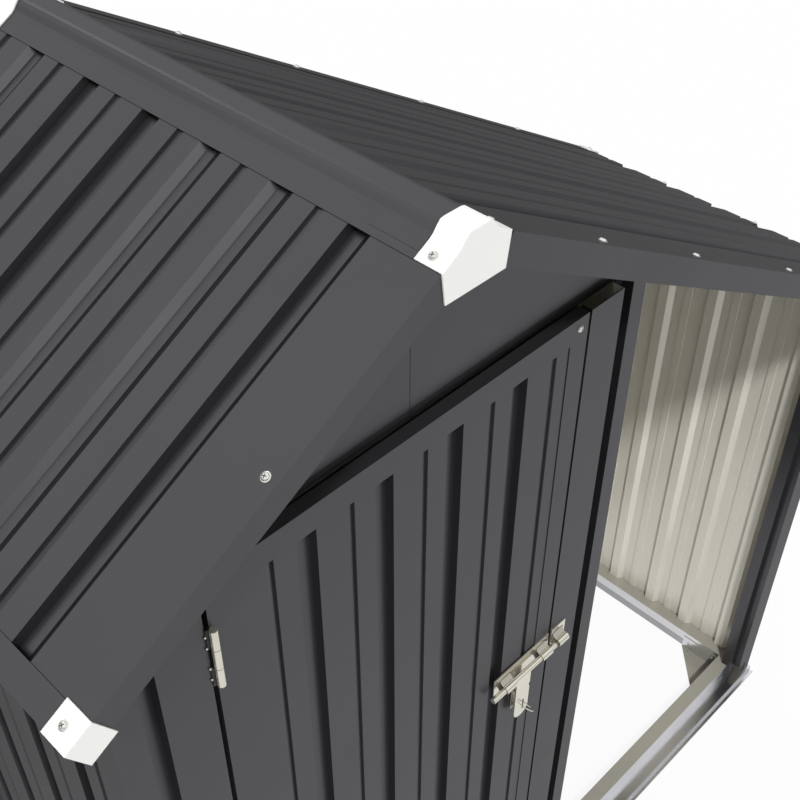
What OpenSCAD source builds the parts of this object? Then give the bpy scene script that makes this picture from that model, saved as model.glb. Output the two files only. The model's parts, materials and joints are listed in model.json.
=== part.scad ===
// Firewood shed: a narrow steel tool locker under a ridged roof.
// The roof's longer slope runs on over an open log bay.
// Millimetres. X runs right along the front, Y to the back and Z up.
// The origin is on the ground in the middle of the roof's footprint.

/* [Roof] */
// Height of the line where the two roof planes meet
ridge_height = 1940; // [1700:10:2300]
// Slope of both roof planes, in degrees
roof_slope = 30; // [22:1:34]
// Level distance from the ridge to the left eave
left_run = 502; // [470:2:640]
// Level distance from the ridge to the right eave, over the log bay
right_run = 1272; // [1000:4:1700]
// Depth of the roof from front to back
roof_depth = 774; // [640:2:1000]
// Overhang of the roof past the front wall
front_overhang = 75; // [40:1:120]
// Overhang of the roof past the back wall
back_overhang = 75; // [40:1:120]

/* [Sheet] */
// Thickness of every folded sheet
sheet = 1.2; // [0.8:0.1:2]
// Distance from one wide groove of the cladding to the next
rib_pitch = 116; // [98:1:140]
// Width of a wide groove
groove_w = 28; // [20:1:40]
// Depth of a groove
groove_d = 11; // [6:0.5:14]
// Width of a narrow notch
notch_w = 10; // [8:1:16]
// Depth of a narrow notch
notch_d = 3; // [2:0.5:6]
// Level run of a groove's steep side
groove_side = 1.5; // [1:0.1:4]

/* [Locker] */
// Half width of the locker, from the ridge line to its outer faces
locker_half = 432; // [380:2:460]
// Width of the front band on the locker's left posts
left_band = 38; // [26:1:50]
// Width of the front band on the locker's right posts
right_band = 30; // [26:1:50]
// Width of the locker posts' side bands
side_band = 34; // [26:1:50]
// Depth of the step behind a post's band
post_step = 17; // [14:0.5:24]
// Width of the lip behind the step
post_lip = 16; // [10:1:24]

/* [Log bay] */
// Distance from the ridge line to the outer face of the bay's posts
bay_face = 1238; // [980:2:1660]
// Width of the band on the bay's corner posts
bay_band = 53; // [40:1:70]
// Depth of the fold behind the bay posts' lips
bay_return = 24; // [16:1:36]

/* [Base] */
// Height of the step that the walls and posts stand on
step_h = 15; // [10:1:22]
// Height of the rails' upstand behind the walls
upstand_h = 53; // [40:1:70]
// Width of the rails' top flange
rail_top_w = 32; // [26:1:40]
// Depth of the hem along the top flange's inner edge
rail_hem = 27; // [16:1:36]
// Set-back of a rail's inner face below its hem
rail_inset = 2; // [1.5:0.5:4]
// Width of the foot that turns in under the rails
rail_foot = 16; // [10:1:24]
// Distance from the front wall's face out to the front rail's step
sill_out = 7; // [4:0.5:14]
// Width of the foot that turns out in front of the front rail
sill_foot = 10; // [6:1:16]
// Distance from the front wall's face in to the front rail's upstand
sill_rise_at = 26; // [24:0.5:32]
// Distance from a wall's outer face out to the other rails' edge
rail_out = 2; // [1:0.5:6]
// Distance from a wall's outer face in to the other rails' upstand
rail_rise_at = 22; // [20:0.5:28]
// Reach of a corner gusset along the front and back rails
gusset_x = 108; // [60:2:140]
// Reach of a front corner gusset along the side rail
gusset_y = 102; // [60:2:140]
// Reach of a back corner gusset along the side rail
gusset_back = 126; // [60:2:150]
// Height of a gusset's upturned edge
gusset_h = 40; // [20:1:48]

/* [Door] */
// Left edge of the door, from the ridge line
door_left = -301; // [-320:1:-280]
// Right edge of the door, from the ridge line
door_right = 310; // [290:1:320]
// Height of the door's top edge
door_top = 1638; // [1500:2:1640]
// Height of the door's bottom edge
door_bottom = 26; // [22:1:40]
// Depth of the door's frame
door_d = 18; // [16:0.5:24]
// Gap at the door's hinge edge
hinge_gap = 6.5; // [6:0.25:9]
// Gap at the door's lock edge
lock_gap = 5; // [5:0.25:8]
// Height of the door's top and bottom rails
door_rail_h = 37; // [28:1:60]
// Width of the door's upright stiles
stile_w = 34; // [26:1:44]

/* [Hinge] */
// Radius of the hinge barrel
barrel_r = 5; // [4:0.25:6]
// Length of a hinge
hinge_l = 92; // [70:2:130]
// Radius of the hinge pin
pin_r = 2.5; // [2:0.1:3.5]
// Clearance between the pin and the door's knuckle
pin_play = 0.1; // [0.05:0.01:0.2]
// Gap between two knuckles
knuckle_gap = 1; // [0.5:0.1:2]
// Thickness of a hinge leaf
leaf_t = 1.8; // [1.2:0.1:2.4]
// Width of a hinge leaf
leaf_w = 15; // [12:0.5:17]
// Height of the lower hinge's middle
lower_hinge = 250; // [180:5:320]
// Height of the upper hinge's middle
upper_hinge = 1525; // [1300:5:1560]

/* [Bolt] */
// Height of the bolt's axis
bolt_z = 974; // [900:2:1100]
// Radius of the bolt's rod
rod_r = 5; // [4:0.25:6]
// Clearance between the rod and its staples
rod_play = 0.6; // [0.4:0.1:1]
// Distance from the plates' face out to the rod's axis
rod_off = 9.5; // [8:0.25:12]
// Length of the back plate
plate_l = 131; // [124:1:140]
// Height of the back plate and the keeper plate
plate_h = 53; // [44:1:60]
// Thickness of the plates
plate_t = 2; // [1.2:0.1:2.4]
// Width of a staple
staple_w = 23; // [18:1:26]
// Length of the keeper plate
keeper_l = 34; // [30:1:48]
// Width of the handle tab that hangs from the rod
tab_w = 34; // [24:1:36]
// Length of the handle tab below the rod's axis
tab_l = 111; // [80:1:120]

/* [Trim] */
// Width of the rake trims' top flange
rake_top = 34; // [24:1:44]
// Depth of the left rake and eave trims' hanging flange
rake_drop = 32; // [24:1:44]
// Depth of the right rake trims' hanging flange
rake_drop_right = 37; // [24:1:38]
// Width of the eave trims' top flange
eave_top = 31; // [24:1:44]
// Slope length of the ridge cap's wings
cap_wing = 57; // [46:1:70]
// Rise of the ridge cap's flat top over the roof planes at its edge
cap_hump = 5.4; // [4.5:0.1:10]
// Thickness of the white plastic caps
plastic = 2; // [1.5:0.1:3]
// Depth of the white caps from front to back
cap_deep = 36; // [30:1:48]

/* [Hidden] */
$fn = 48;
steel = "#3b3c40";
cream = "#d2cfc3";
zinc = "#b9b9b6";
nickel = "#c9c5b8";
white = "#f4f4f2";

// Levels and faces
ridge_x = (left_run - right_run) / 2;
front = -roof_depth / 2 + front_overhang;
back = roof_depth / 2 - back_overhang;
roof_front = -roof_depth / 2;
roof_back = roof_depth / 2;
wall_in = post_step + sheet;
roof_deep = groove_d + sheet;
rafter_h = 30;
rafter_w = 24;
floor_z = step_h + 0.02;
seat = 0.05;
rail_in = rail_rise_at + rail_top_w;
sill_in = sill_rise_at + rail_top_w;

// Left normal of the segment from p to q
function side(p, q) = let (d = q - p) [-d[1], d[0]] / norm(d);
// Point i of a folded line, moved sideways by t with a mitred corner
function mitre(pts, i, t) =
    let (last = len(pts) - 1,
         a = side(pts[max(i - 1, 0)], pts[max(i, 1)]),
         b = side(pts[min(i, last - 1)], pts[min(i + 1, last)]))
    pts[i] + t * (a + b) / (1 + a * b);
// Closed outline of a sheet of thickness t folded along pts, on their left side
function folded(pts, t) = concat(pts, [for (i = [len(pts) - 1 : -1 : 0]) mitre(pts, i, t)]);

// Profile (x, y) to (X, Z), extruded from y0 to y1
module along_y(y0, y1) translate([0, y1, 0]) rotate([90, 0, 0]) linear_extrude(y1 - y0) children();
// Profile (x, y) to (Y, Z), extruded from x0 to x1
module along_x(x0, x1) translate([x0, 0, 0]) rotate([90, 0, 90]) linear_extrude(x1 - x0) children();
module at_ridge() translate([ridge_x, 0, 0]) children();

// Height of the roof plane over x, counted from the ridge, and drop below it square to the slope
function roof_z(x, drop = 0) = ridge_height - abs(x) * tan(roof_slope) - drop / cos(roof_slope);
// Everything below the roof, drop square to the slope
module below_roof(drop) {
    far = right_run + 200;
    eaves = roof_z(far, drop);
    along_y(roof_front - 10, roof_back + 10)
        polygon([[-far, -10], [far, -10], [far, eaves], [0, roof_z(0, drop)], [-far, eaves]]);
}

// Cladding runs along u: a wide groove starts at u, with sides that lean by near and far over its depth d
function groove_pts(u, w = groove_w, near = groove_side, far = groove_side, d = groove_d) =
    [[u, 0], [u + near, d], [u + w - far, d], [u + w, 0]];
// A narrow notch that ends at u, with a long side and a steep side
function notch_pts(u, w = notch_w, d = notch_d) = [[u - w, 0], [u - 0.8, d], [u, 0]];
function ribs(u0, u1, first, gap) = [
    for (k = [-2 : ceil((u1 - u0) / rib_pitch)])
        let (u = first + k * rib_pitch, n = u + gap)
        each concat(
            u > u0 + 8 && u + groove_w < u1 - 8 ? groove_pts(u) : [],
            n - notch_w > u0 + 4 && n < u1 - 4 ? notch_pts(n) : [])
];
function cladding(u0, u1, first, gap = 86) =
    folded(concat([[u0, 0]], ribs(u0, u1, first, gap), [[u1, 0]]), sheet);

// ---------- Base ----------
// Upstand, top flange, hem and foot of a rail that rises at u
function rail_end(u) = let (v = u + rail_top_w, w = v - rail_inset, h = upstand_h - rail_hem) [
    [u, step_h], [u, upstand_h], [v, upstand_h], [v, h], [w, h], [w, 0], [w - rail_foot, 0]
];
// Front rail over (Y, Z), from the front wall's face
function sill_line() = concat(
    [[-sill_out - sill_foot, sheet], [-sill_out, sheet], [-sill_out, step_h]], rail_end(sill_rise_at));
// Other rails over (inwards, Z), from a wall's outer face
function rail_line() = concat([[-rail_out, 0], [-rail_out, step_h]], rail_end(rail_rise_at));
module rail_profile() polygon(folded(rail_line(), -sheet));
// Rail along Y between the front and back rails, with its outer edge at x and its inner side towards dir
module side_rail(x, dir) along_y(front + sill_in + seat, back - rail_in - seat)
    translate([x, 0]) mirror([dir < 0 ? 1 : 0, 0]) rail_profile();

module base_front_rail() color(zinc) at_ridge() along_x(-locker_half - rail_out, bay_face + rail_out)
    translate([front, 0]) polygon(folded(sill_line(), -sheet));
module base_back_rail() color(zinc) at_ridge() along_x(-locker_half - rail_out, bay_face + rail_out)
    translate([back, 0]) mirror([1, 0]) rail_profile();
module base_left_rail() color(zinc) at_ridge() side_rail(-locker_half, 1);
module base_right_rail() color(zinc) at_ridge() side_rail(bay_face, -1);
module base_mid_rail() color(zinc) at_ridge() side_rail(locker_half, -1);
// Room for the rails' upstands, which posts and walls are notched around
module rail_clear() {
    far = right_run + 100;
    wide = rail_top_w + 0.6;
    high = upstand_h + 1.3;
    translate([-far, front + sill_rise_at - 0.3, -1]) cube([2 * far, wide, high]);
    translate([-far, back - rail_in - 0.3, -1]) cube([2 * far, wide, high]);
    for (x = [-locker_half + rail_rise_at, locker_half - rail_in, bay_face - rail_in])
        translate([x - 0.3, -far, -1]) cube([wide, 2 * far, high]);
}
// Three-cornered plate in the corner of two rails, with an edge turned up along Y
module gusset(long) {
    linear_extrude(sheet) polygon([[0, 0], [gusset_x, 0], [sheet, long], [0, long]]);
    cube([sheet, long, gusset_h]);
}
module corner_gussets() color(cream) at_ridge() {
    x0 = -locker_half + rail_in + seat;
    x1 = bay_face - rail_in - seat;
    y0 = front + sill_in + seat;
    y1 = back - rail_in - seat;
    translate([x0, y0, 0]) gusset(gusset_y);
    translate([x1, y0, 0]) mirror([1, 0, 0]) gusset(gusset_y);
    translate([x0, y1, 0]) mirror([0, 1, 0]) gusset(gusset_back);
    translate([x1, y1, 0]) mirror([0, 1, 0]) mirror([1, 0, 0]) gusset(gusset_back);
}

// ---------- Posts ----------
// Folded corner post: the corner is at the origin, with bands along +X and +Y
module post_plan(bx, by, ret) polygon(folded(concat(
    ret > 0 ? [[bx + post_lip, post_step + ret]] : [],
    [[bx + post_lip, post_step], [bx, post_step], [bx, 0], [0, 0]],
    [[0, by], [post_step, by], [post_step, by + post_lip]]
    ), -sheet));
module post(x, y, flip_x, flip_y, bx, by, ret = 0) intersection() {
    difference() {
        translate([x, y, floor_z]) mirror([flip_x, 0, 0]) mirror([0, flip_y, 0])
            linear_extrude(ridge_height) post_plan(bx, by, ret);
        rail_clear();
    }
    below_roof(roof_deep + rafter_h + 2 * seat);
}
module post_front_left() color(steel) at_ridge()
    post(-locker_half, front, 0, 0, left_band, side_band);
module post_back_left() color(steel) at_ridge()
    post(-locker_half, back, 0, 1, left_band, side_band);
module post_front_mid() color(steel) at_ridge()
    post(locker_half, front, 1, 0, right_band, side_band);
module post_back_mid() color(steel) at_ridge()
    post(locker_half, back, 1, 1, right_band, side_band);
module post_front_right() color(steel) at_ridge()
    post(bay_face, front, 1, 0, bay_band, bay_band, bay_return);
module post_back_right() color(steel) at_ridge()
    post(bay_face, back, 1, 1, bay_band, bay_band);

// ---------- Walls ----------
// Cladding that stands along Y, with its outer face at the origin and its grooves towards +X
module wall_y(y0, y1, first) linear_extrude(ridge_height)
    polygon([for (p = cladding(y0, y1, first)) [p[1], p[0]]]);
// Cladding that stands along X, with its outer face at the origin and its grooves towards +Y
module wall_x(x0, x1, first) linear_extrude(ridge_height) polygon(cladding(x0, x1, first));

module left_wall() color(steel) at_ridge() intersection() {
    difference() {
        translate([-locker_half + wall_in, 0, floor_z])
            wall_y(front + side_band + 0.5, back - side_band - 0.5, front + 136);
        rail_clear();
    }
    below_roof(roof_deep + groove_d);
}
// Start of each wide groove and each narrow notch of the bay's outer wall, from the front wall's face
bay_grooves = [57, 169, 272, 387, 499];
bay_notches = [121, 234, 345, 460];
bay_line = concat([[front + bay_band + 0.5, 0]], [
    for (k = [0 : len(bay_grooves) - 1])
        let (u = front + bay_grooves[k])
        each concat(
            u + 33 < back - bay_band - 6 ? groove_pts(u, 33, 10, 2, groove_d) : [],
            k < len(bay_notches) && u + 90 < back - bay_band
                ? groove_pts(front + bay_notches[k], 17, 1, 1, notch_d - 0.5) : [])
], [[back - bay_band - 0.5, 0]]);
module right_wall() color(steel) at_ridge() intersection() {
    difference() {
        translate([bay_face - wall_in, 0, floor_z]) mirror([1, 0, 0]) linear_extrude(ridge_height)
            polygon([for (p = folded(bay_line, sheet)) [p[1], p[0]]]);
        rail_clear();
    }
    below_roof(roof_deep + seat);
}
module partition_wall() color(steel) at_ridge() intersection() {
    difference() {
        translate([locker_half - wall_in, 0, floor_z]) mirror([1, 0, 0])
            wall_y(front + side_band + 0.5, back - side_band - 0.5, front + 84);
        rail_clear();
    }
    below_roof(roof_deep + 2 * seat + sheet);
}
// Wall across the back, between x0 and x1
module back_wall(x0, x1, first) intersection() {
    difference() {
        translate([0, back - wall_in, floor_z]) mirror([0, 1, 0]) wall_x(x0, x1, first);
        rail_clear();
    }
    below_roof(roof_deep + rafter_h + 2 * seat);
}
module back_wall_locker() color(steel) at_ridge() intersection() {
    back_wall(-locker_half + left_band + 0.5, locker_half - right_band - 0.5, -locker_half + 84);
    translate([-locker_half, -roof_depth, 0]) cube([2 * locker_half, 2 * roof_depth, door_top]);
}
module back_wall_bay() color(steel) at_ridge()
    back_wall(locker_half + 0.5, bay_face - bay_band - 0.5, locker_half + 60);

// ---------- Front panels and gables ----------
// Channel beside the door: front face between a and b, and a lip to e on the post's lip
module side_channel(a, b, e) translate([0, front, floor_z]) linear_extrude(door_top - floor_z)
    polygon(folded([[e, post_step - sheet], [a, post_step - sheet], [a, 0], [b, 0], [b, post_step]], sheet));
module front_panel_left() color(steel) at_ridge() intersection() {
    side_channel(-locker_half + left_band + 23, door_left - hinge_gap, -locker_half + left_band + 3);
    below_roof(roof_deep + 2 * seat);
}
module front_panel_right() color(steel) at_ridge() intersection() {
    mirror([1, 0, 0])
        side_channel(-locker_half + right_band + 20, -door_right - lock_gap, -locker_half + right_band + 3);
    below_roof(roof_deep + 2 * seat);
}

// Seam between the two front gable sheets, from the ridge line
gable_seam = 7;
// Front gable over (Y, Z) from its outer face: flat, then bent in behind the door's top edge
bend_top = door_top + 19;
bend_r = 50;
gable_line = concat([[0, ridge_height]],
    [for (a = [0 : 9 : 36]) [bend_r - bend_r * cos(a), bend_top - bend_r * sin(a)]]);
module gable_front(x0, x1) intersection() {
    along_x(x0, x1) translate([front + wall_in, 0]) polygon(folded(gable_line, sheet));
    below_roof(roof_deep + seat);
}
// Flat gable sheet between x0 and x1, with its outer face at y
module gable_sheet(x0, x1, y, bottom, drop) intersection() {
    translate([x0, y, bottom]) cube([x1 - x0, sheet, ridge_height]);
    below_roof(drop);
}
module gable_front_left() color(steel) at_ridge()
    gable_front(-locker_half + left_band + 1, gable_seam - 0.4);
module gable_front_right() color(steel) at_ridge()
    gable_front(gable_seam + 0.4, locker_half - right_band - 1);
module gable_back() color(steel) at_ridge()
    gable_sheet(-locker_half + left_band + 1, locker_half - right_band - 1, back - wall_in - sheet,
                door_top + 0.5, roof_deep + seat);
// Folded rail over the door
header_line = [
    [0, bend_top + 17], [0, bend_top + 5], [11, bend_top + 5], [11, door_top - 50], [25, door_top - 50]
];
module door_header() color(steel) at_ridge() intersection() {
    along_x(-locker_half + left_band + 8, door_right + lock_gap + 9)
        translate([front + wall_in + sheet, 0]) polygon(folded(header_line, sheet));
    below_roof(roof_deep + rafter_h + 3 * seat);
}

// Angle under both slopes, with its upright face at y and its flange towards dir
module rafter(x0, x1, y, dir) {
    reach = dir * rafter_w;
    intersection() {
        difference() {
            below_roof(roof_deep + seat);
            below_roof(roof_deep + seat + sheet);
        }
        translate([x0, min(y, y + reach), 0]) cube([x1 - x0, rafter_w, 2 * ridge_height]);
    }
    intersection() {
        difference() {
            below_roof(roof_deep + seat);
            below_roof(roof_deep + seat + rafter_h);
        }
        translate([x0, dir > 0 ? y : y - sheet, 0]) cube([x1 - x0, sheet, 2 * ridge_height]);
    }
}
rafter_left_end = -locker_half + wall_in + roof_deep + 1;
rafter_right_end = bay_face - wall_in - roof_deep - 1;
module rafters_front() color(steel) at_ridge() {
    rafter(rafter_left_end, -0.5, front + wall_in + sheet, 1);
    rafter(0.5, rafter_right_end, front + wall_in + sheet, 1);
}
module rafters_back() color(steel) at_ridge() {
    rafter(rafter_left_end, -0.5, back - wall_in - sheet, -1);
    rafter(0.5, rafter_right_end, back - wall_in - sheet, -1);
}

// ---------- Roof ----------
// Start of each wide groove and end of each notch, from the roof's front edge
left_grooves = [90, 199, 311, 416, 528, 639];
left_notches = [166, 280, 385, 498, 610, 722];
right_grooves = [76, 188, 300, 412, 524, 636];
right_notches = [151, 263, 374, 486, 597, 709];
// Steep groove, or a shallower one that leans back
function steep_pts(u) = groove_pts(u, 31, 13, 2.5, groove_d);
function lean_pts(u) = groove_pts(u, 35, 14, 7, groove_d - 2.5);
leaning = [false, true, true, false, false, true];
function roof_line(long, grooves, notches) = concat([[0, 0]], [
    for (k = [0 : len(grooves) - 1])
        let (u = grooves[k], n = notches[k])
        each concat(
            u + 36 < long - 6 ? (leaning[k] ? lean_pts(u) : steep_pts(u)) : [],
            n < long - 4 ? notch_pts(n, 12, 3) : [])
], [[long, 0]]);
// A roof side's own frame: X down the slope from the ridge, Y to the back, Z square to the slope
module on_slope(dir) at_ridge() translate([0, 0, ridge_height]) mirror([dir < 0 ? 1 : 0, 0, 0])
    rotate([0, roof_slope, 0]) children();
left_len = left_run / cos(roof_slope);
right_len = right_run / cos(roof_slope);
ridge_gap = roof_deep * tan(roof_slope) + 0.4;
module roof_sheet(len, grooves, notches) along_x(ridge_gap, len - sheet - 0.2)
    translate([roof_front + sheet + 0.2, 0]) mirror([0, 1])
        polygon(folded(roof_line(roof_depth - 2 * sheet - 0.4, grooves, notches), sheet));
module roof_left() color(steel) on_slope(-1) roof_sheet(left_len, left_grooves, left_notches);
module roof_right() color(steel) on_slope(1) roof_sheet(right_len, right_grooves, right_notches);

// Ridge cap over (X, Z) from the ridge: a wing of slope length w on each roof plane and a flat-topped hump
function on_plane(s, x, rise) = [s * x, -x * tan(roof_slope) + rise * cap_hump];
function cap_half(s, w) = [
    on_plane(s, w * cos(roof_slope), 0), on_plane(s, 28, 0), on_plane(s, 23, 0.26), on_plane(s, 18, 0.98),
    on_plane(s, 14.5, 1.26), on_plane(s, 11, 1)
];
function cap_line(w_left, w_right) = let (r = cap_half(1, w_right))
    concat(cap_half(-1, w_left), [for (i = [len(r) - 1 : -1 : 0]) r[i]]);
module ridge_cap() color(steel) at_ridge() along_y(roof_front + sheet + 0.2, roof_back - sheet - 0.2)
    translate([0, ridge_height + seat]) polygon(folded(cap_line(cap_wing, cap_wing), sheet));
function mitred(pts, t) = [for (i = [0 : len(pts) - 1]) mitre(pts, i, t)];
// White moulding over one end of the ridge: a shell on the cap and a plate across the front
cap_short = 7;
module ridge_end() {
    at_y = roof_front - plastic;
    line = cap_line(cap_wing, cap_wing - cap_short);
    low = -(cap_wing + 2) * sin(roof_slope) - 34;
    translate([ridge_x, 0, ridge_height + 2 * seat]) {
        along_y(at_y, at_y + cap_deep) polygon(folded(mitred(line, sheet), plastic));
        along_y(at_y, at_y + plastic - 0.1)
            polygon(concat(mitred(line, sheet + plastic), [[46 - cap_short, low], [-46, low]]));
    }
}
module ridge_end_caps() color(white) {
    ridge_end();
    mirror([0, 1, 0]) ridge_end();
}

// ---------- Roof trims ----------
module rake(dir, len, drop) on_slope(dir) along_x(cap_wing + 0.3, len - sheet - 0.2)
    translate([roof_front, seat])
        polygon(folded([[0, sheet - drop], [0, sheet], [rake_top, sheet]], -sheet));
module rake_front_left() color(steel) rake(-1, left_len, rake_drop);
module rake_front_right() color(steel) rake(1, right_len, rake_drop_right);
module rake_back_left() color(steel) mirror([0, 1, 0]) rake(-1, left_len, rake_drop);
module rake_back_right() color(steel) mirror([0, 1, 0]) rake(1, right_len, rake_drop_right);
// Angle along an eave of slope length len: its flange at height top, its hanging side down to low
module eave_angle(len, top, low) polygon(folded([[len - eave_top, top], [len, top], [len, low]], -sheet));
module eave_trim_left() color(steel) on_slope(-1)
    along_y(roof_front + rake_top + 0.3, roof_back - rake_top - 0.3)
        translate([0, seat]) eave_angle(left_len, sheet, sheet - rake_drop);
module eave_trim_right() color(steel) on_slope(1)
    along_y(roof_front + sheet + 0.2, roof_back - sheet - 0.2)
        translate([0, -seat]) eave_angle(right_len, -roof_deep, -rake_drop - 6);
// White moulding over one corner of the eaves
module eave_corner(dir, len) on_slope(dir) {
    top = sheet + plastic + 2 * seat;
    translate([len - 34, roof_front - plastic, top - plastic]) cube([34 + plastic, cap_deep, plastic]);
    translate([len - 34, roof_front - plastic, top - 41]) cube([34 + plastic, plastic - 0.1, 41]);
    translate([len + 0.1, roof_front - plastic, top - 41]) cube([plastic - 0.1, cap_deep, 41]);
}
module eave_corner_caps() color(white) {
    eave_corner(-1, left_len);
    eave_corner(1, right_len);
    mirror([0, 1, 0]) eave_corner(-1, left_len);
    mirror([0, 1, 0]) eave_corner(1, right_len);
}

// ---------- Door ----------
module door_panel() color(steel) at_ridge()
    translate([0, front + sheet, door_bottom + sheet]) linear_extrude(door_top - door_bottom - 2 * sheet)
        polygon(folded(concat([[door_left + sheet, 0]],
            ribs(door_left + stile_w, door_right - stile_w, door_left + 5, 84),
            [[door_right - sheet, 0]]), sheet));
module door_rails() color(steel) at_ridge() {
    translate([0, front, door_bottom]) door_rail_profile();
    translate([0, front, door_top]) mirror([0, 0, 1]) door_rail_profile();
}
// Channel along the door's edge: a face flange, the edge itself and a back flange
door_rail_line = [[door_d, door_rail_h * 0.8], [door_d, 0], [0, 0], [0, door_rail_h]];
module door_rail_profile() along_x(door_left, door_right) polygon(folded(door_rail_line, -sheet));
module door_stile(w) linear_extrude(door_top - door_bottom - 2 * door_rail_h) polygon([
    [0, 0], [w, 0], [w, sheet], [sheet, sheet], [sheet, door_d - sheet], [w * 0.7, door_d - sheet],
    [w * 0.7, door_d], [0, door_d]]);
module door_stiles() color(steel) at_ridge() translate([0, front, door_bottom + door_rail_h]) {
    translate([door_left, 0, 0]) door_stile(stile_w + 4);
    translate([door_right, 0, 0]) mirror([1, 0, 0]) door_stile(stile_w);
}

// ---------- Hinges ----------
pin_x = door_left + 1;
pin_y = front - barrel_r - 0.5;
knuckle_l = (hinge_l - 2 * knuckle_gap) / 3;
module at_hinges() at_ridge() for (z = [lower_hinge, upper_hinge]) translate([0, 0, z]) children();
module frame_leaf() {
    x0 = door_left - hinge_gap;
    y0 = pin_y + 3.2;
    translate([x0, front + 0.5, -hinge_l / 2]) cube([leaf_t, leaf_w, hinge_l]);
    for (z = [-hinge_l / 2, hinge_l / 2 - knuckle_l]) {
        translate([x0, y0, z]) cube([leaf_t, front + 0.6 - y0, knuckle_l]);
        translate([x0, y0, z]) cube([pin_x - x0, leaf_t, knuckle_l]);
        translate([pin_x, pin_y, z]) cylinder(r = barrel_r, h = knuckle_l);
    }
    translate([pin_x, pin_y, -hinge_l / 2 + 1]) cylinder(r = pin_r, h = hinge_l - 2);
}
module door_leaf() {
    translate([door_left - leaf_t, front + 0.5, -hinge_l / 2]) cube([leaf_t, leaf_w, hinge_l]);
    difference() {
        union() {
            translate([pin_x, pin_y, -knuckle_l / 2]) cylinder(r = barrel_r, h = knuckle_l);
            translate([door_left - leaf_t, pin_y + 3, -knuckle_l / 2])
                cube([leaf_t, front + 0.6 - pin_y - 3, knuckle_l]);
        }
        translate([pin_x, pin_y, -knuckle_l]) cylinder(r = pin_r + pin_play, h = 2 * knuckle_l);
    }
}
module hinge_frame_leaves() color(nickel) at_hinges() frame_leaf();
module hinge_door_leaves() color(nickel) at_hinges() door_leaf();

// ---------- Bolt ----------
staple_t = 1.9;
rod_y = front - plate_t - rod_off;
plate_x1 = door_right - 1;
plate_x0 = plate_x1 - plate_l;
staple_a = plate_x0 + 15;
staple_b = plate_x1 - staple_w - 6;
keeper_x = door_right + lock_gap + 2;
keeper_staple = keeper_x + 4;
bore_r = rod_r + rod_play;
rod_x1 = keeper_staple - 5;
tab_x = staple_a + staple_w + 6;
lug_x = staple_a + 33;
// Arch over (Y, Z) around the rod: half a round of radius r, splayed to feet at height foot on the plate
function arch(r, foot, y) = concat(
    [[y, foot]], [for (a = [60 : 15 : 300]) [r * cos(a), r * sin(a)]], [[y, -foot]]);
// Strap pressed out over the rod, between x and x + staple_w
module staple(x) along_x(x, x + staple_w) translate([rod_y, bolt_z]) difference() {
    polygon(arch(bore_r + staple_t, 14, rod_off + 0.2));
    polygon(arch(bore_r, 11, rod_off + 1));
}
module bolt_plate() color(nickel) at_ridge() {
    translate([plate_x0, front - plate_t, bolt_z - plate_h / 2]) cube([plate_l, plate_t, plate_h]);
    translate([lug_x, front - plate_t, bolt_z - 93]) cube([25, plate_t, 90]);
    staple(staple_a);
    staple(staple_b);
}
module bolt_rod() color(nickel) at_ridge() {
    rod_x0 = plate_x0 - 13;
    translate([rod_x0, rod_y, bolt_z]) rotate([0, 90, 0]) cylinder(r = rod_r, h = rod_x1 - rod_x0);
    translate([tab_x, rod_y + 1.5, bolt_z]) rotate([90, 0, 0]) linear_extrude(3) difference() {
        union() {
            translate([0, -tab_l + tab_w / 2]) square([tab_w, tab_l - tab_w / 2]);
            translate([tab_w / 2, -tab_l + tab_w / 2]) circle(r = tab_w / 2);
        }
        translate([tab_w / 2 + 2, -tab_l + 13]) square([4, 27]);
        translate([tab_w - 2, -46]) square([3, 7]);
    }
}
module bolt_keeper() color(nickel) at_ridge() {
    translate([keeper_x, front - plate_t, bolt_z - plate_h / 2]) cube([keeper_l, plate_t, plate_h]);
    staple(keeper_staple);
}

base_front_rail();
base_back_rail();
base_left_rail();
base_right_rail();
base_mid_rail();
corner_gussets();
post_front_left();
post_front_mid();
post_front_right();
post_back_left();
post_back_mid();
post_back_right();
left_wall();
partition_wall();
right_wall();
back_wall_locker();
back_wall_bay();
front_panel_left();
front_panel_right();
gable_front_left();
gable_front_right();
gable_back();
door_header();
rafters_front();
rafters_back();
roof_left();
roof_right();
ridge_cap();
ridge_end_caps();
rake_front_left();
rake_front_right();
rake_back_left();
rake_back_right();
eave_trim_left();
eave_trim_right();
eave_corner_caps();
door_panel();
door_rails();
door_stiles();
hinge_frame_leaves();
hinge_door_leaves();
bolt_plate();
bolt_rod();
bolt_keeper();
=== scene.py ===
import json, math
import bpy, bmesh
from mathutils import Vector, Matrix
from mathutils.bvhtree import BVHTree


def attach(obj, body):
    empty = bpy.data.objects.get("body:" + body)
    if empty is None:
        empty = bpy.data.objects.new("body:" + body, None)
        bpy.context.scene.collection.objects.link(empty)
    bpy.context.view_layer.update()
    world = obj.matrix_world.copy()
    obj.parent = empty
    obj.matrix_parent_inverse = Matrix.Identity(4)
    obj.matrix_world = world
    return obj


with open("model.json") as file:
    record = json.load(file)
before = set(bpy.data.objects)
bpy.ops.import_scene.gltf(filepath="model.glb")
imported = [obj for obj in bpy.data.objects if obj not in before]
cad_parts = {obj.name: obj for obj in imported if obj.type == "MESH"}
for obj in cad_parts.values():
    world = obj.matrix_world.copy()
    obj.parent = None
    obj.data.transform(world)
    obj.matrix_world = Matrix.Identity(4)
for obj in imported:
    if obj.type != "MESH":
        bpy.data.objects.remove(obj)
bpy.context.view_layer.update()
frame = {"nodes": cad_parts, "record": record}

nodes = frame["nodes"]
scene = bpy.context.scene

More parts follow.
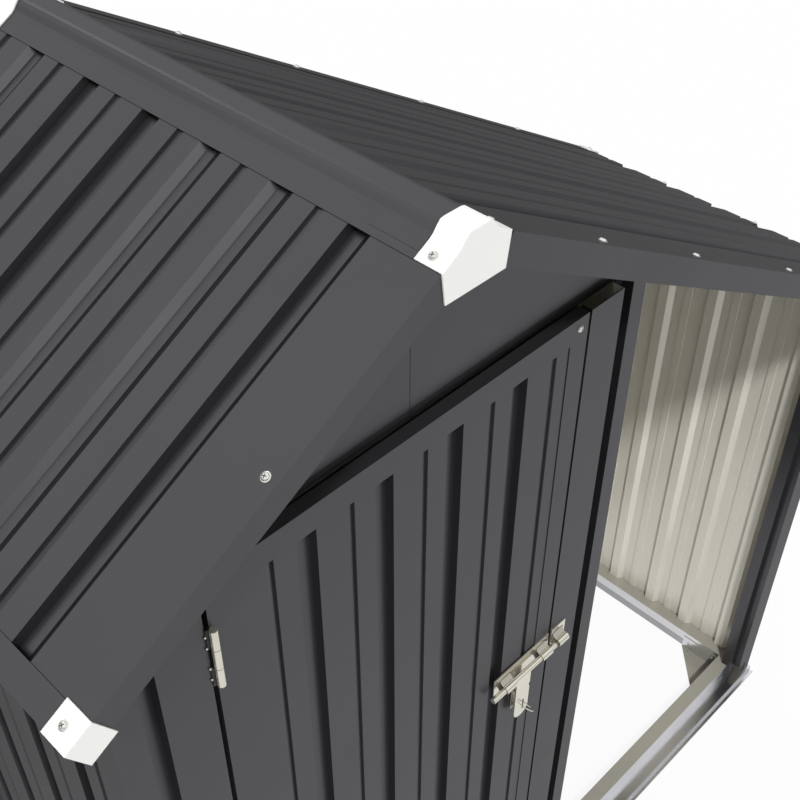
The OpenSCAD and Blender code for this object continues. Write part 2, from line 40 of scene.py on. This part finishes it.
# The shed's own places, in metres
RIDGE_X = -0.385
RIDGE_Z = 1.94
SLOPE = math.radians(30)
ROOF_HALF = 0.387       # from the middle of the roof to its front or back edge
ROOF_RUN = {-1: 0.502, 1: 1.272}    # level distance from the ridge to the left or right eave
DOOR_FACE = -0.312
PLATE_FACE = -0.314     # front of the bolt's back plate
BOLT_Z = 0.974          # axis of the bolt
HINGE_AXIS = (-0.685, -0.3175)
# Rail levels that split off painted shade: a darker cream on the top, a darker zinc below the hem
RAIL_TOP = 0.05         # a rail's cream top lies above this level
RAIL_HEM = 0.0255       # a rail's bright hem lies above this level

LEFT, RIGHT, FRONT, BACK, UP = (-1, 0, 0), (1, 0, 0), (0, -1, 0), (0, 1, 0), (0, 0, 1)
UP_LEFT = (-math.sin(SLOPE), 0, math.cos(SLOPE))
UP_RIGHT = (math.sin(SLOPE), 0, math.cos(SLOPE))

RAILS = ["base_front_rail", "base_back_rail", "base_left_rail", "base_right_rail", "base_mid_rail"]

# Sheets that are grey outside and cream inside, with the sides that they turn outwards
OUTER = {
    "left_wall": [LEFT], "right_wall": [RIGHT], "partition_wall": [RIGHT],
    "back_wall_locker": [BACK], "back_wall_bay": [BACK], "door_panel": [FRONT],
    "front_panel_left": [FRONT], "front_panel_right": [FRONT],
    "gable_front_left": [FRONT], "gable_front_right": [FRONT], "gable_back": [BACK],
    "roof_left": [UP_LEFT], "roof_right": [UP_RIGHT],
    "rake_front_left": [UP_LEFT, FRONT], "rake_front_right": [UP_RIGHT, FRONT],
    "rake_back_left": [UP_LEFT, BACK], "rake_back_right": [UP_RIGHT, BACK],
    "post_front_left": [LEFT, FRONT], "post_back_left": [LEFT, BACK],
    "post_front_mid": [RIGHT, FRONT], "post_back_mid": [RIGHT, BACK],
    "post_front_right": [RIGHT, FRONT], "post_back_right": [RIGHT, BACK],
}


# ---------- shader helpers ----------
def emitter(tree, strength):
    """White emission; its strength is a number, or a socket that gives one."""
    glow = tree.nodes.new("ShaderNodeEmission")
    glow.inputs["Color"].default_value = (1, 1, 1, 1)
    if isinstance(strength, float):
        glow.inputs["Strength"].default_value = strength
    else:
        tree.links.new(strength, glow.inputs["Strength"])
    return glow.outputs[0]


def pick(tree, switch, off, on):
    """Mix of two shaders; the switch is a share, or a socket that gives one."""
    mix = tree.nodes.new("ShaderNodeMixShader")
    if isinstance(switch, float):
        mix.inputs[0].default_value = switch
    else:
        tree.links.new(switch, mix.inputs[0])
    tree.links.new(off, mix.inputs[1])
    tree.links.new(on, mix.inputs[2])
    return mix.outputs[0]


def graded(tree, value, start, end, first, last, kind="LINEAR"):
    """A value between start and end, spread from first to last."""
    spread = tree.nodes.new("ShaderNodeMapRange")
    spread.interpolation_type = kind
    spread.inputs["From Min"].default_value = start
    spread.inputs["From Max"].default_value = end
    spread.inputs["To Min"].default_value = first
    spread.inputs["To Max"].default_value = last
    tree.links.new(value, spread.inputs["Value"])
    return spread.outputs["Result"]


def noise(tree, where, scale, detail, roughness=0.5):
    grains = tree.nodes.new("ShaderNodeTexNoise")
    grains.inputs["Scale"].default_value = scale
    grains.inputs["Detail"].default_value = detail
    grains.inputs["Roughness"].default_value = roughness
    tree.links.new(where, grains.inputs["Vector"])
    return grains.outputs["Fac"]


# ---------- camera and light ----------
cam_data = bpy.data.cameras.new("camera")
cam_data.lens = 53.86
cam_data.sensor_width = 36.0
cam_data.clip_start = 0.05
cam_data.clip_end = 60
cam = bpy.data.objects.new("camera", cam_data)
LOOK_DOWN, LOOK_RIGHT = 41.209, 45.490
cam.location = (-1.0894, -0.978, 2.535)
cam.rotation_euler = (math.radians(90 - LOOK_DOWN), 0, math.radians(-LOOK_RIGHT))
scene.collection.objects.link(cam)
scene.camera = cam
scene.view_settings.view_transform = "Standard"

# A white room: plain white behind the shed, softer as light on it, and in its
# reflections greyer near the horizon than overhead
WORLD_LIGHT, WORLD_BEHIND = 0.62, 0.985
MIRRORED_LOW, MIRRORED_HIGH = 0.42, 0.97
world = bpy.data.worlds.new("world")
scene.world = world
world.use_nodes = True
wt = world.node_tree
wt.nodes.clear()
path = wt.nodes.new("ShaderNodeLightPath")
where = wt.nodes.new("ShaderNodeTexCoord")
axes = wt.nodes.new("ShaderNodeSeparateXYZ")
wt.links.new(where.outputs["Generated"], axes.inputs[0])
mirrored = graded(wt, axes.outputs["Z"], 0.1, 0.42, MIRRORED_LOW, MIRRORED_HIGH, "SMOOTHSTEP")
room = pick(wt, path.outputs["Is Glossy Ray"], emitter(wt, WORLD_LIGHT), emitter(wt, mirrored))
room = pick(wt, path.outputs["Is Camera Ray"], room, emitter(wt, WORLD_BEHIND))
wt.links.new(room, wt.nodes.new("ShaderNodeOutputWorld").inputs["Surface"])


def sunlight(name, energy, width, turn_to):
    """A far lamp; width is the angle of its disc in degrees."""
    data = bpy.data.lights.new(name, "SUN")
    data.energy = energy
    data.angle = math.radians(width)
    lamp = bpy.data.objects.new(name, data)
    lamp.rotation_euler = turn_to.to_euler()
    scene.collection.objects.link(lamp)
    return lamp


sun = sunlight("sun", 2.75, 5, Vector((1, 1, -1.85)).to_track_quat("-Z", "Y"))
sun.visible_glossy = False

# Two weak lights that only show as a sheen on folds turned towards them
sunlight("sheen_front", 0.13, 30, Vector((-0.18, -0.79, 0.58)).to_track_quat("Z", "Y"))
sunlight("sheen_back", 0.07, 8, Vector((0.21, 0.74, 0.64)).to_track_quat("Z", "Y"))


# ---------- materials ----------
def finish(name, base, rough, metallic, vary, patch=3.0, peel=0.02, grain=900, fold=0.0,
           spread=0.04, stretch=(1, 1, 1), spangle=0.0, mirror=0.0):
    """A painted, plated or moulded surface.

    vary, patch: how far the colour drifts, and the scale of its patches.
    peel, grain: depth and scale of the fine bumps, such as orange peel in paint.
    fold: radius that edges are rounded to in shading; spread: how far the roughness drifts.
    stretch: brushed along an axis; spangle: share of zinc crystals in the colour.
    mirror: share of a plain reflection laid over the surface, in its own colour.
    """
    material = bpy.data.materials.new(name)
    material.use_nodes = True
    tree = material.node_tree
    new = tree.nodes.new
    link = tree.links.new
    surface = tree.nodes["Principled BSDF"]
    surface.inputs["Metallic"].default_value = metallic
    coords = new("ShaderNodeTexCoord")
    mapping = new("ShaderNodeMapping")
    mapping.inputs["Scale"].default_value = stretch
    link(coords.outputs["Object"], mapping.inputs["Vector"])
    along = mapping.outputs["Vector"]

    tone = noise(tree, along, patch, 5, 0.55)
    if spangle:
        crystals = new("ShaderNodeTexVoronoi")
        crystals.inputs["Scale"].default_value = 70
        link(coords.outputs["Object"], crystals.inputs["Vector"])
        grey = new("ShaderNodeRGBToBW")
        link(crystals.outputs["Color"], grey.inputs[0])
        blend = new("ShaderNodeMix")
        blend.inputs[0].default_value = spangle
        link(tone, blend.inputs[2])
        link(grey.outputs[0], blend.inputs[3])
        tone = blend.outputs[0]
    ramp = new("ShaderNodeValToRGB")
    for stop, position, share in ((0, 0.3, 1 - vary), (1, 0.7, 1 + vary)):
        ramp.color_ramp.elements[stop].position = position
        ramp.color_ramp.elements[stop].color = (*[c * share for c in base], 1)
    link(tone, ramp.inputs["Fac"])
    link(ramp.outputs["Color"], surface.inputs["Base Color"])

    wear = graded(tree, noise(tree, along, 14, 6), 0.3, 0.7, rough - spread, rough + spread)
    link(wear, surface.inputs["Roughness"])

    bump = new("ShaderNodeBump")
    bump.inputs["Strength"].default_value = peel
    bump.inputs["Distance"].default_value = 0.001
    link(noise(tree, along, grain, 2), bump.inputs["Height"])
    if fold:
        bevel = new("ShaderNodeBevel")
        bevel.samples = 4
        bevel.inputs["Radius"].default_value = fold
        link(bevel.outputs["Normal"], bump.inputs["Normal"])
    link(bump.outputs["Normal"], surface.inputs["Normal"])

    if mirror:
        glossy = new("ShaderNodeBsdfAnisotropic")
        link(ramp.outputs["Color"], glossy.inputs["Color"])
        link(wear, glossy.inputs["Roughness"])
        link(bump.outputs["Normal"], glossy.inputs["Normal"])
        coated = pick(tree, mirror, surface.outputs[0], glossy.outputs[0])
        link(coated, tree.nodes["Material Output"].inputs["Surface"])
    return material


M = {
    "steel_paint": finish("steel_paint", (0.0865, 0.0865, 0.0925), 0.3, 0.5, vary=0.035,
                          peel=0.006, spread=0.02, mirror=0.72),
    "cream_paint": finish("cream_paint", (0.685, 0.66, 0.58), 0.31, 0.25, vary=0.02,
                          peel=0.01, spread=0.02),
    "zinc": finish("zinc", (0.74, 0.74, 0.76), 0.22, 1.0, vary=0.05, spangle=0.12, fold=0.001),
    "nickel": finish("nickel", (0.69, 0.66, 0.575), 0.15, 0.86, vary=0.04, grain=500,
                     stretch=(1, 8, 8), fold=0.0004),
    "white_plastic": finish("white_plastic", (0.77, 0.77, 0.75), 0.38, 0.0, vary=0.015,
                            grain=700, peel=0.04, fold=0.001),
}
# A darker copy of the zinc: painted shade on the rails' faces below the hem
SHADED_ZINC = finish("zinc_painted_shade", (0.42, 0.42, 0.44), 0.22, 1.0, vary=0.08, spangle=0.12)
# A darker, shaded copy of the cream paint: painted shade on the rails' tops and the gussets' plates
SHADED_CREAM = finish("cream_painted_shade", (0.35, 0.337, 0.292), 0.23, 0.3, vary=0.02, peel=0.01, spread=0.03)
LEAF = finish("leaf_black", (0.02, 0.02, 0.021), 0.35, 0.3, vary=0.2, patch=30)
SCREW = finish("screw_zinc", (0.78, 0.77, 0.74), 0.2, 1.0, vary=0.08, patch=40, fold=0.0003)
BRASS = finish("rivet_brass", (0.72, 0.62, 0.30), 0.22, 1.0, vary=0.06, patch=40)
# Near-black painted shade, laid in the screws' cross recesses and the slots by the bolt's straps
PAINTED_SHADE = finish("recess", (0.03, 0.03, 0.03), 0.6, 0.2, vary=0.2, patch=40)

# Each CAD node starts in its slot's material, with the CAD's own shading normals taken off
slots = {sp["node"]: sp["material_slot"] for sp in frame["record"]["subparts"]}
for name, ob in nodes.items():
    held = ob.data.attributes.get("custom_normal")
    if held:
        ob.data.attributes.remove(held)
    ob.data.materials.clear()
    ob.data.materials.append(M[slots[name]])

# A sheet's face is inside where a ray from it towards every outer side meets the sheet itself
RAY_START, RAY_LENGTH = 0.0002, 0.2
for name, outward in OUTER.items():
    me = nodes[name].data
    me.materials.append(M["cream_paint"])
    tree = BVHTree.FromPolygons([v.co for v in me.vertices], [p.vertices for p in me.polygons])
    for p in me.polygons:
        start = p.center + p.normal * RAY_START
        if all(tree.ray_cast(start, Vector(d), RAY_LENGTH)[0] is not None for d in outward):
            p.material_index = 1

# Rails: on top a darker, shaded copy of the cream paint as painted shade, bright zinc on the hem, and
# below it zinc darkened as painted shade
for name in RAILS:
    me = nodes[name].data
    me.materials.append(SHADED_CREAM)
    me.materials.append(SHADED_ZINC)
    for p in me.polygons:
        if p.normal.z > 0.7 and p.center.z > RAIL_TOP:
            p.material_index = 1
        elif abs(p.normal.z) < 0.5 and p.center.z < RAIL_HEM:
            p.material_index = 2

# Gussets: painted plate in the darker, shaded copy of the cream paint as painted shade; bare upturned
# edge
GUSSET_PLATE = 0.002
me = nodes["corner_gussets"].data
me.materials.clear()
me.materials.append(SHADED_CREAM)
me.materials.append(M["zinc"])
for p in me.polygons:
    p.material_index = int(abs(p.normal.z) < 0.5 and p.center.z > GUSSET_PLATE)

# Hinges: near-black leaves, bright barrel. A face is on a leaf where it is further from the
# axis than the barrel's skin, or is the flank where the leaf runs into the barrel.
BARREL_SKIN, BARREL_FLANK, LEAF_SIDE = 0.0052, 0.0042, -0.3145
for name in ("hinge_frame_leaves", "hinge_door_leaves"):
    me = nodes[name].data
    me.materials.append(LEAF)
    for p in me.polygons:
        off = math.hypot(p.center.x - HINGE_AXIS[0], p.center.y - HINGE_AXIS[1])
        flank = off > BARREL_FLANK and abs(p.normal.z) < 0.1 and p.center.y > LEAF_SIDE
        p.material_index = int(off > BARREL_SKIN or flank)


# ---------- folds ----------
def soften(ob, width, wide, angle=20, segments=3):
    """Folded sheet has a bend radius: round the folds between faces wider than wide that
    meet at more than angle degrees, and never the cut edges."""
    me = ob.data
    bm = bmesh.new()
    bm.from_mesh(me)
    across = [2 * f.calc_area() / f.calc_perimeter() for f in bm.faces]    # a long face's width
    weights = [0.0] * len(bm.edges)
    for e in bm.edges:
        if len(e.link_faces) == 2 and e.calc_face_angle(0) > math.radians(angle):
            if min(across[f.index] for f in e.link_faces) > wide:
                weights[e.index] = 1.0
    bm.free()
    layer = me.attributes.new("bevel_weight_edge", "FLOAT", "EDGE")
    layer.data.foreach_set("value", weights)
    mod = ob.modifiers.new("folds", "BEVEL")
    mod.limit_method = "WEIGHT"
    mod.width = width
    mod.segments = segments
    mod.use_clamp_overlap = False
    mod.harden_normals = True


for ob in nodes.values():
    ob.data.shade_smooth()
    ob.data.set_sharp_from_angle(angle=math.radians(25))
nodes["ridge_cap"].data.set_sharp_from_angle(angle=math.radians(70))

SHEET_EDGE, CAP_EDGE = 0.0012, 0.0016   # faces up to this width are cut edges
for name in [*OUTER, *RAILS, "door_stiles", "door_rails", "door_header", "corner_gussets"]:
    soften(nodes[name], 0.0009, SHEET_EDGE)
soften(nodes["ridge_cap"], 0.004, 0.001, angle=8, segments=5)
for name in ("eave_trim_left", "eave_trim_right"):
    soften(nodes[name], 0.0025, SHEET_EDGE)
for name in ("ridge_end_caps", "eave_corner_caps"):
    soften(nodes[name], 0.003, CAP_EDGE, segments=5)


# ---------- small pieces ----------
def add(name, bm, materials, body, smooth=40):
    """Make a piece of a mesh and ride it on a body; smooth is the widest shaded angle, 0 for flat."""
    me = bpy.data.meshes.new(name)
    bm.to_mesh(me)
    bm.free()
    ob = bpy.data.objects.new(name, me)
    scene.collection.objects.link(ob)
    for m in materials:
        me.materials.append(m)
    if smooth:
        me.shade_smooth()
        me.set_sharp_from_angle(angle=math.radians(smooth))
    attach(ob, body)


def turn(bm, profile, pose, seg=24):
    """Solid of revolution: profile of (radius, height), from the foot to the crown, about Z of
    pose. A last radius of 0 closes the crown."""
    rings = []
    for r, h in profile:
        angles = [2 * math.pi * k / seg for k in range(seg if r else 1)]
        rings.append([bm.verts.new(pose @ Vector((r * math.cos(a), r * math.sin(a), h)))
                      for a in angles])
    for a, b in zip(rings, rings[1:]):
        for k in range(seg):
            j = (k + 1) % seg
            bm.faces.new((a[k], a[j], b[0]) if len(b) == 1 else (a[k], a[j], b[j], b[k]))


def block(bm, size, pose, mat=0):
    vs = [bm.verts.new(pose @ Vector((x * size[0] / 2, y * size[1] / 2, z * size[2] / 2)))
          for x in (-1, 1) for y in (-1, 1) for z in (-1, 1)]
    for q in ((0, 1, 3, 2), (4, 6, 7, 5), (0, 4, 5, 1), (2, 3, 7, 6), (0, 2, 6, 4), (1, 5, 7, 3)):
        bm.faces.new([vs[i] for i in q]).material_index = mat


def place(point, normal, spin=0.0):
    """Pose at a point with Z along a normal, turned by spin about it."""
    n = Vector(normal).normalized()
    x = Vector(RIGHT) if abs(n.x) < 0.9 else Vector(BACK)
    x = (x - n * x.dot(n)).normalized()
    m = Matrix((x, n.cross(x), n)).transposed().to_4x4()
    return Matrix.Translation(point) @ m @ Matrix.Rotation(spin, 4, "Z")


def screw(bm, point, normal, head, washer=0.0, spin=0.3):
    """Cross-head screw: washer, pan head and cross recess, the recess drawn as a dark block of painted
    shade; head and washer are radii.
    """
    pose = place(point, normal, spin)
    base = 0.0
    if washer:
        turn(bm, [(washer, -0.0002), (washer, 0.0006), (washer * 0.93, 0.0009), (0.002, 0.0010)], pose)
        base = 0.0008
    turn(bm, [(head, base - 0.0002), (head, base + 0.0006), (head * 0.94, base + 0.0013),
              (head * 0.78, base + 0.0019), (head * 0.52, base + 0.0023), (0, base + 0.0025)], pose)
    crown = pose @ Matrix.Translation((0, 0, base + 0.00235))
    for a in (0, math.pi / 2):
        block(bm, (head * 1.15, head * 0.2, 0.0004), crown @ Matrix.Rotation(a, 4, "Z"), 1)


def on_roof(side, slope, y, rise):
    """Point over a roof plane, at a slope length from the ridge, and the plane's normal."""
    n = Vector((side * math.sin(SLOPE), 0, math.cos(SLOPE)))
    p = Vector((RIDGE_X + side * slope * math.cos(SLOPE), y, RIDGE_Z - slope * math.sin(SLOPE)))
    return p + n * rise, n


# Radii of head and washer
ROOF_SCREW = (0.0043, 0.0056)
CAP_SCREW = (0.0040, 0.0053)
DOOR_SCREW = (0.0040, 0.0048)
# Height of a screw's seat over the roof plane
ON_SHEET, ON_TRIM, ON_CAP = 0.0002, 0.0013, 0.0034

shed = bmesh.new()
# Rake trims, then the left and the right eave
for side, slopes in ((-1, [0.295]), (1, [0.258, 0.504, 0.834, 1.16])):
    for end in (-1, 1):
        for d in slopes:
            screw(shed, *on_roof(side, d, end * (ROOF_HALF - 0.0145), ON_TRIM), *ROOF_SCREW,
                  spin=0.4 + d * 5)
for y in (-0.13, 0.17):
    screw(shed, *on_roof(-1, 0.565, y, ON_TRIM), *ROOF_SCREW, spin=y * 9)
for y in (-0.26, -0.05, 0.17):
    screw(shed, *on_roof(1, 1.455, y, ON_SHEET), *ROOF_SCREW, spin=y * 7)
# White caps, at the ridge and at the corners
for end in (-1, 1):
    y = end * (ROOF_HALF - 0.0185)
    for side, d in ((-1, 0.046), (1, 0.040)):
        screw(shed, *on_roof(side, d, y, ON_CAP), *CAP_SCREW, spin=0.5)
    for side, run in ROOF_RUN.items():
        screw(shed, *on_roof(side, run / math.cos(SLOPE) - 0.0155, y, ON_CAP), *CAP_SCREW, spin=1.0)
# Front right gusset: two through its upturned edge and one through its plate
for y, z in ((-0.168, 0.022), (-0.238, 0.027)):
    screw(shed, (0.7984, y, z), LEFT, 0.0036)
screw(shed, (0.789, -0.176, 0.0007), UP, 0.003)
# Frame leaves of the hinges
for hinge_z in (1.526, 0.25):
    for up in (0.035, 0.017, -0.017, -0.035):
        screw(shed, (-0.6926, -0.3128, hinge_z + up), (-1, -0.5, 0), 0.0016)
add("shed_screws", shed, [SCREW, PAINTED_SHADE], "shed")

# The door's corners
door = bmesh.new()
for x, z, spin in ((0.2935, 1.6205, 0.6), (0.2935, 0.045, 0.2),
                   (-0.284, 1.6205, 1.1), (-0.284, 0.045, 0.8)):
    screw(door, (RIDGE_X + x, DOOR_FACE, z), FRONT, *DOOR_SCREW, spin=spin)
add("door_screws", door, [SCREW, PAINTED_SHADE], "door")

# Bolt: rivet on the lug, slots the straps were pressed out of, drawn as thin dark blocks of painted
# shade, and the split ring in the tab
rivet = bmesh.new()
turn(rivet, [(0.0048, -0.0002), (0.0048, 0.0003), (0.0044, 0.0009), (0.003, 0.0014), (0, 0.0016)],
     place((-0.1476, PLATE_FACE, 0.895), FRONT))
add("lug_rivet", rivet, [BRASS], "door")

STRAP = 0.023           # width of a strap, from end slot to end slot
LONG_SLOT, END_SLOT = (0.022, 0.0003, 0.0014), (0.0011, 0.0003, 0.0055)
SLOT_Y = PLATE_FACE - 0.0001
for label, body, starts in (("plate_slot_shade", "door", (-0.192, -0.105)),
                            ("keeper_slot_shade", "shed", (-0.064,))):
    slits = bmesh.new()
    for x in starts:
        for up in (-1, 1):
            block(slits, LONG_SLOT, Matrix.Translation((x + STRAP / 2, SLOT_Y, BOLT_Z + up * 0.0158)))
            for off in (-0.0008, STRAP + 0.0008):
                block(slits, END_SLOT, Matrix.Translation((x + off, SLOT_Y, BOLT_Z + up * 0.0132)))
    add(label, slits, [PAINTED_SHADE], body, smooth=0)


def ring(bm, centre, tilt, radius, wire, steps=64, sides=10):
    """Split ring: two close turns of wire in a plane tilted about Y."""
    pose = Matrix.Translation(centre) @ Matrix.Rotation(tilt, 4, "Y")
    rows = []
    total = 2 * steps
    for k in range(total):
        a = 4 * math.pi * k / (total - 1)
        climb = (k / (total - 1) - 0.5) * 2.2 * wire
        row = []
        for j in range(sides):
            b = 2 * math.pi * j / sides
            r = radius + wire * math.cos(b)
            row.append(bm.verts.new(pose @ Vector((r * math.cos(a), r * math.sin(a),
                                                   climb + wire * math.sin(b)))))
        rows.append(row)
    for a, b in zip(rows, rows[1:]):
        for j in range(sides):
            i = (j + 1) % sides
            bm.faces.new((a[j], b[j], b[i], a[i]))
    bm.faces.new(rows[0])
    bm.faces.new(rows[-1][::-1])


loop = bmesh.new()
ring(loop, (-0.1343, -0.3285, 0.8763), math.radians(45), 0.012, 0.0006)
add("split_ring", loop, [M["nickel"]], "bolt")

# Lap plate on the ridge cap, just behind the front end cap
lap = bmesh.new()
block(lap, (0.024, 0.066, 0.0006), place(*on_roof(-1, 0.036, -0.318, 0.0014)))
add("cap_lap", lap, [M["steel_paint"]], "shed", smooth=0)

# ---------- floor ----------
# Pale grey as light and shadow go; nearly white to the camera, with the shadow kept;
# and in reflections it fades towards the back and the distance
SHADOW_SHARE = 0.12
bpy.ops.mesh.primitive_plane_add(size=40, location=(0, 0, -0.0005))
floor = bpy.context.object
floor.name = "floor"
floor_paint = bpy.data.materials.new("floor")
floor_paint.use_nodes = True
ft = floor_paint.node_tree
ground = ft.nodes["Principled BSDF"]
ground.inputs["Base Color"].default_value = (0.6, 0.6, 0.6, 1)
ground.inputs["Roughness"].default_value = 0.9
ray = ft.nodes.new("ShaderNodeLightPath")
spot = ft.nodes.new("ShaderNodeNewGeometry")
depth = ft.nodes.new("ShaderNodeSeparateXYZ")
ft.links.new(spot.outputs["Position"], depth.inputs[0])
far = ft.nodes.new("ShaderNodeVectorMath")
far.operation = "LENGTH"
ft.links.new(spot.outputs["Position"], far.inputs[0])
both = ft.nodes.new("ShaderNodeMath")
both.operation = "MULTIPLY"
ft.links.new(graded(ft, depth.outputs["Y"], -0.6, 1.0, 0.9, 0.52, "SMOOTHSTEP"), both.inputs[0])
ft.links.new(graded(ft, far.outputs["Value"], 3.2, 6.0, 1.0, 0.6, "SMOOTHSTEP"), both.inputs[1])
look = pick(ft, ray.outputs["Is Glossy Ray"], ground.outputs[0], emitter(ft, both.outputs[0]))
white = pick(ft, SHADOW_SHARE, emitter(ft, 1.02), ground.outputs[0])
look = pick(ft, ray.outputs["Is Camera Ray"], look, white)
ft.links.new(look, ft.nodes["Material Output"].inputs["Surface"])
floor.data.materials.append(floor_paint)
